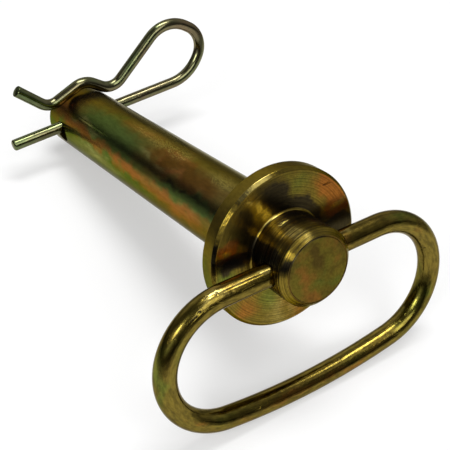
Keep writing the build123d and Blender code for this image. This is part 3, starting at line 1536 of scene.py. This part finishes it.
@dataclass
class Bail(BentWire):
    """The bail handle, whose two ends turn in the head's bore.

    Attributes:
        width: across the loop, between the wire's middles.
        drop: from the bore to the bar.
        bow_radius: of the bowed bar.
        insertion: how deep each end goes into the head.
        swing: how far it is turned about the bore from square with the pin.
        bore_height: from the bearing face to the bore.
        head_diameter: of the pin's head.
    """

    width: float = 73.9 * MM
    drop: float = 33.8 * MM
    bow_radius: float = 150.0 * MM
    insertion: float = 7.5 * MM
    swing: float = math.radians(0.7)
    bore_height: float = 10.4 * MM
    head_diameter: float = 18.7 * MM

    def corner_radius(self) -> float:
        """The one radius of both corners of a side, which runs smoothly into the bowed bar.

        Returns:
            The radius.
        """
        half = self.width / 2
        linear = 2 * self.bow_radius - self.drop - half
        constant = self.drop**2 + half**2 - 2 * self.bow_radius * self.drop
        return math.sqrt(linear**2 - constant) - linear

    def path(self) -> WirePath:
        """From one end in the head, round by the bar, to the other end.

        Returns:
            The path.
        """
        radius = self.corner_radius()
        corner = self.width / 2 - radius
        bow = math.asin(corner / (self.bow_radius - radius))
        end = self.head_diameter / 2 - self.insertion
        path = WirePath((end, 0.0), 0.0, self.step).straight(corner - end)
        path.bend(radius, math.pi - bow).bend(self.bow_radius, 2 * bow).bend(radius, math.pi - bow)
        return path.straight(corner - end)

    def plane(self, frame: PinFrame) -> Matrix:
        """x along the bore, y down to the bar, swung about the bore."""
        swing = Matrix.Rotation(self.swing, 3, frame.across)
        return plane_matrix(frame.point(self.bore_height), frame.across, swing @ -frame.up)


@dataclass
class Clip(BentWire):
    """The spring clip: a straight leg, a closed bow, two valleys over the shank and a tail.

    Attributes:
        shank_diameter: of the pin's shank.
        hole_diameter: of the hole that the leg goes through.
        hole_height: from the bearing face to the hole, which is below zero.
        leg_clearance: between the leg and the top of its hole.
        seat_gap: between the valleys and the shank.
        leg_reach: from the pin's axis to the leg's free end.
        bow_start: where the leg ends and the bow starts.
        bow_reach: how far out the bow's corner is.
        bow_middle: how high the bow's corner is above the leg.
        bow_slope: how steeply the bow comes down to the shank.
        bow_run: how far the bow goes on that slope.
        bend_share: how much of the shorter side a bow's bend takes up.
        inner_valley_offset: how far beyond the shank the inner valley is.
        outer_valley_offset: how far beyond the shank the outer valley is.
        rise: slope from the inner valley to the crest.
        fall: slope from the crest to the outer valley.
        fall_lift: how far the outer slope clears the shank.
        tail_angle: slope of the tail.
        tail_run: how far the tail goes out.
        valley_radii: radii of the inner valley, the crest and the outer valley.
    """

    wire_diameter: float = 3.4 * MM
    step: float = 0.25 * MM
    sides: int = 48
    seed: int = 5
    end_chamfers: tuple = (0.4 * MM, 0.08 * MM)
    shank_diameter: float = 19.05 * MM
    hole_diameter: float = 6.5 * MM
    hole_height: float = -99.4 * MM
    leg_clearance: float = 0.03 * MM
    seat_gap: float = 0.05 * MM
    leg_reach: float = 25.0 * MM
    bow_start: float = 37.1 * MM
    bow_reach: float = 45.1 * MM
    bow_middle: float = 11.5 * MM
    bow_slope: float = math.radians(35.6)
    bow_run: float = 22.5 * MM
    bend_share: float = 0.49
    inner_valley_offset: float = 0.4 * MM
    outer_valley_offset: float = 1.6 * MM
    rise: float = math.radians(36.8)
    fall: float = math.radians(17.9)
    fall_lift: float = 0.4 * MM
    tail_angle: float = math.radians(45.7)
    tail_run: float = 8.2 * MM
    valley_radii: tuple = (5.8 * MM, 6.0 * MM, 4.8 * MM)

    @property
    def leg_height(self) -> float:
        """The leg's height above the pin's axis, against the top of its hole."""
        return (self.hole_diameter - self.wire_diameter) / 2 - self.leg_clearance

    @staticmethod
    def flank(angle: float, off: float, x: float) -> Vector:
        """The point at x of a slope that falls at an angle and passes the pin's axis at a distance."""
        return Vector((x, off / math.cos(angle) - x * math.tan(angle)))

    def corners(self) -> list:
        """The path's corners: x towards the bow, y away from the leg.

        Returns:
            The corners, from the leg's free end to the tail's.
        """
        shank = self.shank_diameter / 2
        seat = shank + self.wire_diameter / 2 + self.seat_gap
        high = seat + self.fall_lift
        inner = self.flank(self.rise, seat, shank + self.inner_valley_offset)
        outer = self.flank(-self.fall, high, -shank - self.outer_valley_offset)
        gap = seat / math.cos(self.rise) - high / math.cos(self.fall)
        crest = self.flank(self.rise, seat, gap / (math.tan(self.rise) + math.tan(self.fall)))
        top = inner + Vector((1, math.tan(self.bow_slope))) * self.bow_run
        tail = outer + Vector((-1, math.tan(self.tail_angle))) * self.tail_run
        leg = Vector((-self.leg_reach, self.leg_height))
        low = Vector((self.bow_start, self.leg_height))
        far = Vector((self.bow_reach, self.leg_height + self.bow_middle))
        return [leg, low, far, top, inner, crest, outer, tail]

    def path(self) -> WirePath:
        """From the leg's free end, round the bow and over the shank, to the tail.

        Returns:
            The path.
        """
        corners = self.corners()
        sides = [b - a for a, b in zip(corners, corners[1:])]
        turns = [-a.angle_signed(b) for a, b in zip(sides, sides[1:])]
        radii = [
            self.bend_share * min(a.length, b.length) / math.tan(abs(t) / 2)
            for a, b, t in zip(sides[:3], sides[1:4], turns)
        ] + list(self.valley_radii)
        reaches = [r * math.tan(abs(t) / 2) for r, t in zip(radii, turns)]
        path = WirePath(tuple(corners[0]), math.atan2(sides[0].y, sides[0].x), self.step)
        used = 0.0
        for side, radius, turn, reach in zip(sides, radii, turns, reaches):
            path.straight(side.length - used - reach).bend(radius, turn)
            used = reach
        return path.straight(sides[-1].length - used)

    def plane(self, frame: PinFrame) -> Matrix:
        """x along the leg towards the bow, y square with it and with the pin."""
        away = frame.along.cross(frame.clip_way)
        return plane_matrix(frame.point(self.hole_height), frame.clip_way, away)


# ---------------------------------------------------------------- studio


def direction(azimuth: float, elevation: float) -> Vector:
    """The unit vector at an azimuth and an elevation in degrees."""
    a, e = math.radians(azimuth), math.radians(elevation)
    return Vector((math.cos(e) * math.cos(a), math.cos(e) * math.sin(a), math.sin(e)))


def facing(way: Vector, roll: float) -> Matrix:
    """The turn that makes a lamp or a camera look back along a direction, rolled in degrees."""
    return way.to_track_quat("Z", "Y").to_matrix() @ Matrix.Rotation(math.radians(roll), 3, "Z")


@dataclass(frozen=True)
class SoftBox:
    """A large soft lamp, far from the pin and aimed at it.

    Attributes:
        name: the lamp's name.
        azimuth: in degrees from +X towards +Y.
        elevation: in degrees above the floor.
        spread: the angles that its width and height take up, in degrees.
        radiance: how bright its face is, where a white floor under a plain sky is 1.
        turn: how far it is turned about the way that it faces, in degrees.
        distance: from the point that it faces, in metres.
    """

    name: str
    azimuth: float
    elevation: float
    spread: tuple
    radiance: float
    turn: float = 0.0
    distance: float = 1.1

    def build(self, aim: Vector) -> Object:
        """Makes the lamp.

        Args:
            aim: the point that it faces.

        Returns:
            The lamp's object.
        """
        width, height = (2 * self.distance * math.tan(math.radians(a) / 2) for a in self.spread)
        data = bpy.data.lights.new(self.name, "AREA")
        data.shape = "ELLIPSE"
        data.size, data.size_y = width, height
        data.energy = self.radiance * math.pi * (math.pi / 4 * width * height)
        lamp = bpy.data.objects.new(self.name, data)
        way = direction(self.azimuth, self.elevation)
        lamp.location = aim + way * self.distance
        lamp.rotation_euler = facing(way, self.turn).to_euler()
        bpy.context.scene.collection.objects.link(lamp)
        return lamp


@dataclass(frozen=True)
class Glow:
    """A broad dim patch of the studio's walls.

    Attributes:
        azimuth: in degrees from +X towards +Y.
        elevation: in degrees above the floor.
        inner: half angle of its even middle, in degrees.
        outer: half angle at which it has faded out.
        strength: how much it adds to the walls.
    """

    azimuth: float
    elevation: float
    inner: float
    outer: float
    strength: float


@dataclass
class Studio:
    """The floor, the lamps, the walls' glow and the camera.

    Attributes:
        floor_half: half of the floor's side, in metres.
        floor_near: the floor's colour round the pin.
        floor_far: the darker colour painted on the floor away from it and towards the horizon, as painted
            shade where the light should fall off.
        floor_fade: the distances at which the near colour ends and the far one starts, in metres.
        floor_slant: how steeply it is seen where the near colour ends, and where the far one starts.
        floor_glow: how much light of its own the floor shows to the camera and in the metal.
        walls: how bright the walls are.
        horizon: how bright they are at the horizon.
        horizon_band: the heights between which the horizon turns into the walls.
        lamps: the soft lamps.
        glows: the walls' glows.
        aim: the point that the lamps and the camera face.
        camera_azimuth: in degrees from +X towards +Y.
        camera_elevation: in degrees above the floor.
        camera_distance: from the aim, in metres.
        camera_roll: in degrees.
        camera_lens: its focal length, in millimetres, over a sensor of camera_sensor.
        camera_sensor: the sensor's width, in millimetres.
        camera_reach: how near and how far it sees, in metres.
    """

    floor_half: float = 15.0
    floor_near: tuple = (0.92, 0.92, 0.92, 1)
    floor_far: tuple = (0.26, 0.26, 0.26, 1)
    floor_fade: tuple = (0.24, 0.42)
    floor_slant: tuple = (0.32, 0.12)
    floor_glow: float = 0.4
    walls: float = 0.13
    horizon: float = 0.03
    horizon_band: tuple = (0.04, 0.30)
    lamps: tuple = (
        SoftBox("lamp_overhead", 124.0, 76.5, (34.0, 14.0), 11.5, 20.0),
        SoftBox("lamp_left", -64.0, 40.5, (22.0, 17.0), 8.5),
        SoftBox("lamp_right", 4.0, 40.0, (36.0, 30.0), 3.1),
    )
    glows: tuple = (
        Glow(118.0, 76.0, 4.0, 25.0, 1.6),
        Glow(22.0, 62.0, 4.0, 20.0, 1.2),
        Glow(-66.0, 38.0, 6.0, 30.0, 0.8),
        Glow(178.0, 30.0, 6.0, 36.0, 0.55),
        Glow(148.0, 10.0, 4.0, 30.0, 0.40),
        Glow(95.0, 25.0, 5.0, 55.0, 0.32),
    )
    aim: Vector = field(default_factory=lambda: Vector((0.0361, -0.0100, 0.0361)))
    camera_azimuth: float = -33.46
    camera_elevation: float = 40.29
    camera_distance: float = 0.2121
    camera_roll: float = 0.63
    camera_lens: float = 74.88
    camera_sensor: float = 36.0
    camera_reach: tuple = (0.01, 100.0)

    def build(self) -> None:
        """Makes the whole studio."""
        self.build_floor()
        self.build_world()
        for lamp in self.lamps:
            lamp.build(self.aim)
        self.build_camera()
        bpy.context.scene.view_settings.view_transform = "Standard"

    def build_floor(self) -> None:
        """Makes the pale floor, whose colour is darkened away from the pin as painted shade."""
        half = self.floor_half
        corners = [(-half, -half, 0), (half, -half, 0), (half, half, 0), (-half, half, 0)]
        mesh = bpy.data.meshes.new("floor")
        mesh.from_pydata(corners, [], [(0, 1, 2, 3)])
        mesh.materials.append(self.floor_material())
        object_from(mesh, "floor")

    def floor_material(self) -> Material:
        """Makes the floor's matt white, which the camera and the metal see with a light of its own.

        Returns:
            The material.
        """
        material = bpy.data.materials.new("pale_floor")
        material.use_nodes = True
        shader = material.node_tree.nodes["Principled BSDF"]
        shader.inputs["Roughness"].default_value = 0.9
        shader.inputs["Specular IOR Level"].default_value = 0.0
        tree = Tree(material.node_tree)
        # painted shade: the floor's colour, and the light it shows, darken away from the pin and where it is
        # seen edge-on, in place of light that falls off
        away = tree.ramp(tree.vector("LENGTH", object_space(tree)), *self.floor_fade)
        edge_on = tree.add("ShaderNodeLayerWeight").outputs["Facing"]
        slant = tree.ramp(tree.math("SUBTRACT", 1.0, edge_on), *self.floor_slant)
        far = tree.math("MAXIMUM", away, slant)
        tree.feed(shader, "Base Color", tree.mix(far, self.floor_near, self.floor_far))
        seen = tree.add("ShaderNodeLightPath").outputs
        direct = tree.math("MAXIMUM", seen["Is Camera Ray"], seen["Is Glossy Ray"])
        direct = tree.math("MAXIMUM", direct, seen["Is Transmission Ray"])
        share = tree.math("MULTIPLY", direct, self.floor_glow)
        light = tree.mix(far, (1.0, 1.0, 1.0, 1), self.floor_far)
        glow = tree.first("ShaderNodeEmission", {"Color": light})
        mixed = tree.first("ShaderNodeMixShader", {0: share, 1: shader.outputs[0], 2: glow})
        tree.feed(material.node_tree.nodes["Material Output"], "Surface", mixed)
        return material

    def build_world(self) -> None:
        """Makes the dim walls: pale at the horizon, with broad soft glows above it."""
        world = bpy.data.worlds.new("studio")
        bpy.context.scene.world = world
        world.use_nodes = True
        tree = Tree(world.node_tree)
        way = tree.vector("NORMALIZE", tree.add("ShaderNodeTexCoord").outputs["Generated"])
        height = tree.split(way)[2]
        light = tree.ramp(height, *self.horizon_band, (self.horizon, self.walls))
        for glow in self.glows:
            middle = tuple(direction(glow.azimuth, glow.elevation))
            near = tree.vector("DOT_PRODUCT", way, middle)
            outer, inner = (math.cos(math.radians(a)) for a in (glow.outer, glow.inner))
            light = tree.math("ADD", light, tree.ramp(near, outer, inner, (0.0, glow.strength)))
        tree.feed(world.node_tree.nodes["Background"], "Color", tree.grey(light))

    def build_camera(self) -> None:
        """Makes the camera."""
        data = bpy.data.cameras.new("camera")
        data.lens = self.camera_lens
        data.sensor_width = self.camera_sensor
        data.clip_start, data.clip_end = self.camera_reach
        camera = bpy.data.objects.new("camera", data)
        way = direction(self.camera_azimuth, self.camera_elevation)
        turn = facing(way, self.camera_roll)
        place = Matrix.Translation(self.aim + way * self.camera_distance)
        camera.matrix_world = place @ turn.to_4x4()
        bpy.context.scene.collection.objects.link(camera)
        bpy.context.scene.camera = camera


# ---------------------------------------------------------------- build order


def pin_finishes(frame: PinFrame, groups: dict) -> dict:
    """The material of each zone of the pin.

    Args:
        frame: the pin's axes.
        groups: the shared shader groups by name.

    Returns:
        Zone to material.
    """
    green, orange, brown, dark, bright = Tint
    shank = PinFinish(
        "zinc_shank",
        film=FilmColours(
            gold=(0.142, 0.101, 0.024),
            green=(0.088, 0.130, 0.034),
            orange=(0.285, 0.112, 0.034),
            brown=(0.108, 0.052, 0.010),
            # bright here is the colour of the shank's painted highlight
            bright=(0.37, 0.36, 0.13),
        ),
        tints=(-0.05, -0.15, -0.1, -0.6, -0.5),
        stretch=4.0,
        clouds=120.0,
        cloud_depth=0.65,
        roughness=0.23,
        dust=Bloom.on_shank(
            (-51, 0, 28, 4.5, bright, 0.8),
            (-17, -7, 13, 4.5, bright, 0.5),
            (-40, 130, 30, 6.0, bright, 0.5),
        ),
        grain=0.00001,
        coat=0.11,
        sheen=(0.50, 0.48, 0.34),
        blooms=Bloom.on_shank(
            (-76, -92, 56, 6.5, green, 1.9),
            (-22, -66, 30, 3.8, green, 1.9),
            (-68, -38, 36, 10.0, green, 1.4),
            (-86, -64, 18, 4.0, orange, 1.2),
            (-58, -70, 32, 3.8, orange, 1.2),
            (-28, -82, 26, 3.8, orange, 1.1),
            (-98, -40, 12, 7.0, orange, 1.1),
            (-28, -38, 26, 5.0, orange, 0.8),
            (-36, -26, 12, 4.5, orange, 1.4),
            (-50, 2, 30, 6.0, orange, 0.6),
            (-32, -26, 30, 6.0, brown, 1.2),
            (-97, -15, 16, 9.0, brown, 0.7),
            # painted highlight: the bright blooms lay pale streaks where the shank should reflect the clip's
            # wire and, low down, the floor; the painted shade bloom lays a dark line where it should reflect
            # dark surroundings
            (-84, -48, 24, 4.0, bright, 1.0),
            (-40, -42, 50, 3.2, bright, 0.8),
            (-32, -55, 40, 2.0, dark, 1.5),
            (-80, -92, 60, 7.0, bright, 0.95),
            (-80, 80, 34, 8.0, green, 1.0),
            (-40, 130, 30, 8.0, orange, 0.8),
            (-60, 178, 34, 8.0, green, 0.8),
        ),
        nicks=(Nick((-80.0, -6.9, 6.5), (13.0, 0.5, 0.5), 0.07),),
    )
    seat = PinFinish(
        "zinc_seat",
        roughness=0.3,
        anisotropy=0.6,
        radial=True,
        ring_depth=0.00002,
        ring_tint=0.2,
    )
    rim = PinFinish(
        "zinc_rim",
        tints=(0.0, -0.4, -0.2, -1.0, -0.5),
        cloud_depth=0.3,
        stretch=2.0,
        roughness=0.32,
        anisotropy=0.4,
        grain=0.00001,
        blooms=(
            Bloom((2.0, -17.0, -5.0), (6.0, 10.0, 16.0), green, 1.1),
            # painted highlight on the rim's left side
            Bloom((2.0, -19.0, -2.0), (6.0, 7.0, 9.0), bright, 1.0),
        ),
    )
    edge = PinFinish(
        "zinc_edge",
        tints=(-0.2, -0.2, -0.2, -0.4, -0.4),
        roughness=0.12,
        cloud_depth=0.3,
        grain=0.00005,
        coat=0.05,
        blooms=(
            # painted shade on the chamfer's lower left, right and bottom, and a painted highlight on its
            # upper left, where it should catch the lamp
            Bloom((4.5, -18.4, 5.0), (4.0, 4.5, 7.0), dark, 2.2),
            Bloom((4.5, 18.5, 1.0), (4.0, 9.0, 17.0), dark, 1.4),
            Bloom((4.5, 0.0, -19.5), (4.0, 14.0, 9.0), dark, 1.4),
            Bloom((4.5, -7.5, 17.5), (4.0, 9.0, 6.0), bright, 1.9),
        ),
    )
    face = PinFinish(
        "zinc_face",
        tints=(-0.1, -0.15, 0.0, -0.4, -0.4),
        cloud_depth=0.4,
        roughness=0.18,
        anisotropy=0.6,
        radial=True,
        rings=9000.0,
        ring_depth=0.00002,
        ring_tint=0.25,
        blooms=(
            *Bloom.on_face(
                4.5,
                (76, 16, 8.0, green, 0.65),
                (183, 16.5, 6.0, green, 0.8),
                (-118, 12, 6.0, green, 0.6),
                (44, 17.8, 8.2, orange, 1.5),
                (24, 16.5, 5.2, orange, 2.2),
                (159, 15.6, 3.4, orange, 2.6),
                (-141, 16, 7.0, orange, 0.8),
                (-85, 17, 8.5, orange, 0.7),
                # painted reflection of the floor on the lower face
                (-98, 15, 13.0, bright, 0.75),
            ),
            # painted shade: dark patches where the turned face should reflect dark surroundings
            Bloom((4.5, 3.0, 4.4), (4.0, 10.6, 10.6), dark, 5.0),
            Bloom((4.5, 14.5, 0.6), (4.0, 8.0, 4.2), dark, 4.0),
            *Bloom.on_face(
                4.5,
                (96, 14.5, 6.5, dark, 1.8),
                (136, 14, 5.8, dark, 1.7),
            ),
            Bloom((4.5, -14.5, 1.3), (4.0, 6.0, 2.8), dark, 1.9),
            # painted highlight: bright streaks where the turned face should catch the lamps
            *Bloom.on_face(
                4.5,
                (120, 16.2, 2.4, bright, 1.0),
                (116, 13.4, 2.6, bright, 1.4),
                (108, 10.8, 2.6, bright, 1.2),
                (163, 15.8, 2.2, bright, 1.2),
            ),
            # one more painted highlight streak
            Bloom((4.5, 14.9, 6.2), (4.0, 4.4, 1.3), bright, 1.0),
        ),
        nicks=(Nick((4.5, 12.3, 11.9), (0.5, 1.4, 0.3), 0.12),),
    )
    side = PinFinish(
        "zinc_side",
        tints=(-0.1, -0.2, 0.1, -0.4, -0.4),
        roughness=0.15,
        anisotropy=0.3,
        rings=9000.0,
        ring_depth=0.00002,
        ring_tint=0.8,
        blooms=(
            # painted shade on the lower left of the head's side, and painted highlights along its top
            Bloom((9.5, -8.3, 4.4), (12.0, 4.0, 4.8), dark, 3.0),
            Bloom((10.0, -2.8, 8.9), (14.0, 3.9, 6.0), bright, 1.9),
            Bloom((10.0, 4.5, 8.2), (14.0, 4.5, 6.0), bright, 1.1),
        ),
    )
    lip = PinFinish(
        "zinc_lip",
        tints=(-0.3, -0.3, -0.3, -0.4, -0.4),
        roughness=0.12,
        anisotropy=0.2,
        rings=10500.0,
        ring_depth=0.00001,
        ring_tint=0.7,
        coat=0.08,
        blooms=(
            # painted shade on the lip's left, and painted highlights on its top and right
            Bloom((15.5, -7.7, 4.2), (4.0, 4.0, 4.0), dark, 2.0),
            Bloom((15.5, -2.2, 8.8), (4.0, 3.8, 4.2), bright, 1.1),
            Bloom((15.5, 7.8, 3.5), (4.0, 4.0, 5.0), bright, 0.8),
        ),
    )
    end = PinFinish(
        "zinc_end",
        film=FilmColours(
            gold=(0.124, 0.098, 0.015),
            green=(0.084, 0.104, 0.018),
            orange=(0.200, 0.088, 0.018),
            brown=(0.080, 0.054, 0.012),
        ),
        tints=(0.0, 0.05, 0.2, -1.0, -1.0),
        roughness=0.34,
        clouds=190.0,
        cloud_depth=0.9,
        grain=0.00002,
        coat=0.04,
        blooms=Bloom.on_face(
            16.3,
            (-50, 7.0, 4.0, green, 0.5),
            (185, 3.5, 5.0, orange, 0.4),
            (75, 7.5, 3.6, orange, 0.6),
            (-106, 7.0, 4.2, orange, 0.9),
            (-75, 3.0, 4.0, green, 0.7),
            (150, 7.5, 4.0, green, 0.5),
            (85, 3.2, 3.8, brown, 1.3),
            (98, 5.8, 2.6, brown, 1.1),
        ),
    )
    bore = PinFinish("zinc_bore", tints=(-0.4, -0.4, 0.3, -1.0, -1.0), roughness=0.4)
    groove = PinFinish(
        "zinc_groove",
        # painted shade: the groove is darkened all over, and most on its upper left
        tints=(-0.4, -0.4, 0.5, 0.1, -1.0),
        roughness=0.3,
        blooms=(Bloom((16.0, -3.0, 7.0), (4.0, 10.0, 10.0), dark, 1.6),),
    )
    finishes = (shank, seat, rim, edge, face, side, lip, end, bore, groove)
    return {zone: finish.build(frame, groups) for zone, finish in zip(Zone, finishes)}


def bail_finish() -> WireFinish:
    """The finish of the bail: gold, with broad changes of hue along it, painted highlights on its arms and a
    row of scratches.

    Returns:
        The finish.
    """
    green, orange, bright = Tint.GREEN, Tint.ORANGE, Tint.BRIGHT
    return WireFinish(
        "zinc_bail",
        film=FilmColours(gold=(0.158, 0.115, 0.018), brown=(0.115, 0.066, 0.016)),
        tints=(-0.05, -0.1, 0.1, -1.0, -0.6),
        blooms=(
            # painted highlights along the bail's arms, which brighten the lamp's reflection
            Bloom((160.0, 1.9, -2.0), (13.0, 2.4, 2.4), bright, 1.7),
            Bloom((174.0, 1.5, -2.2), (9.0, 2.6, 2.6), bright, 1.8),
            Bloom((10.0, 0.5, -2.6), (15.0, 2.2, 2.2), bright, 1.3),
            Bloom((28.0, 0.5, -2.6), (12.0, 3.0, 3.0), green, 0.6),
            Bloom((53.0, 2.2, 1.6), (12.0, 2.8, 2.8), green, 0.6),
            Bloom((30.0, 2.6, 0.5), (12.0, 2.6, 2.6), orange, 0.6),
            Bloom((4.0, 2.5, -1.0), (10.0, 2.2, 2.2), orange, 0.8),
            Bloom((88.0, 2.7, 0.0), (34.0, 2.4, 2.4), orange, 0.7),
            Bloom((125.0, 2.7, -0.4), (10.0, 2.4, 2.4), orange, 0.8),
            Bloom((140.0, 0.5, -2.6), (12.0, 2.6, 2.6), green, 0.6),
        ),
        cloud_depth=0.8,
        mottle=0.65,
        roughness=0.13,
        coat=0.09,
        nicks=(
            Nick((37.8, 2.2, 1.5), (0.2, 0.9, 0.9), 0.09),
            Nick((60.3, 1.7, 2.1), (0.3, 0.3, 0.3), 0.09),
            Nick((155.5, 1.9, -1.9), (0.7, 0.4, 0.5), 0.10),
            Nick((159.2, 1.0, -2.5), (1.1, 0.3, 0.3), 0.07),
            Nick((160.4, 1.0, -2.5), (0.3, 0.8, 0.4), 0.08),
            Nick((158.2, 0.5, -2.6), (0.9, 0.25, 0.3), 0.07),
            Nick((166.5, 1.3, -2.35), (9.0, 0.42, 0.42), 0.07),
            Nick((153.0, 2.1, -1.6), (5.0, 0.4, 0.4), 0.05),
        ),
    )


def clip_finish() -> WireFinish:
    """The finish of the spring clip: paler than the pin, and green all over.

    Returns:
        The finish.
    """
    return WireFinish(
        "zinc_spring",
        film=FilmColours(
            gold=(0.158, 0.137, 0.070),
            green=(0.100, 0.160, 0.058),
            orange=(0.215, 0.118, 0.074),
            brown=(0.10, 0.075, 0.04),
        ),
        tints=(0.45, 0.0, 0.0, -1.0, -1.0),
        clouds=110.0,
        cloud_depth=0.9,
        roughness=0.13,
    )


def main() -> None:
    """Builds and dresses every piece, in order."""
    logging.basicConfig(level=logging.INFO, format="%(name)s: %(message)s")
    frame_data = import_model()
    pin = TurnedPin()
    frame = PinFrame.from_record(frame_data["record"], pin.bore_height)
    groups = {
        "film": film_group(),
        "mark": mark_group(),
        "turning": turning_group(),
        "scuffs": scuff_group(),
        "dust": dust_group(),
    }
    wires = wire_tree()

    body = pin.build(frame, turning_tree(), pin_finishes(frame, groups))
    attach(body, "pin")
    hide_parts("pin_body")
    LOG.info("%s: %d faces", body.name, len(body.data.polygons))

    bail = Bail().build(frame, wires, bail_finish().build(groups), "wire_bail")
    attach(bail, "bail")
    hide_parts("bail_handle")
    LOG.info("%s: %d faces", bail.name, len(bail.data.polygons))

    clip_piece = Clip().build(frame, wires, clip_finish().build(groups), "wire_clip")
    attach(clip_piece, "clip")
    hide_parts("spring_clip")
    LOG.info("%s: %d faces", clip_piece.name, len(clip_piece.data.polygons))

    Studio().build()


if __name__ == "__main__":
    main()
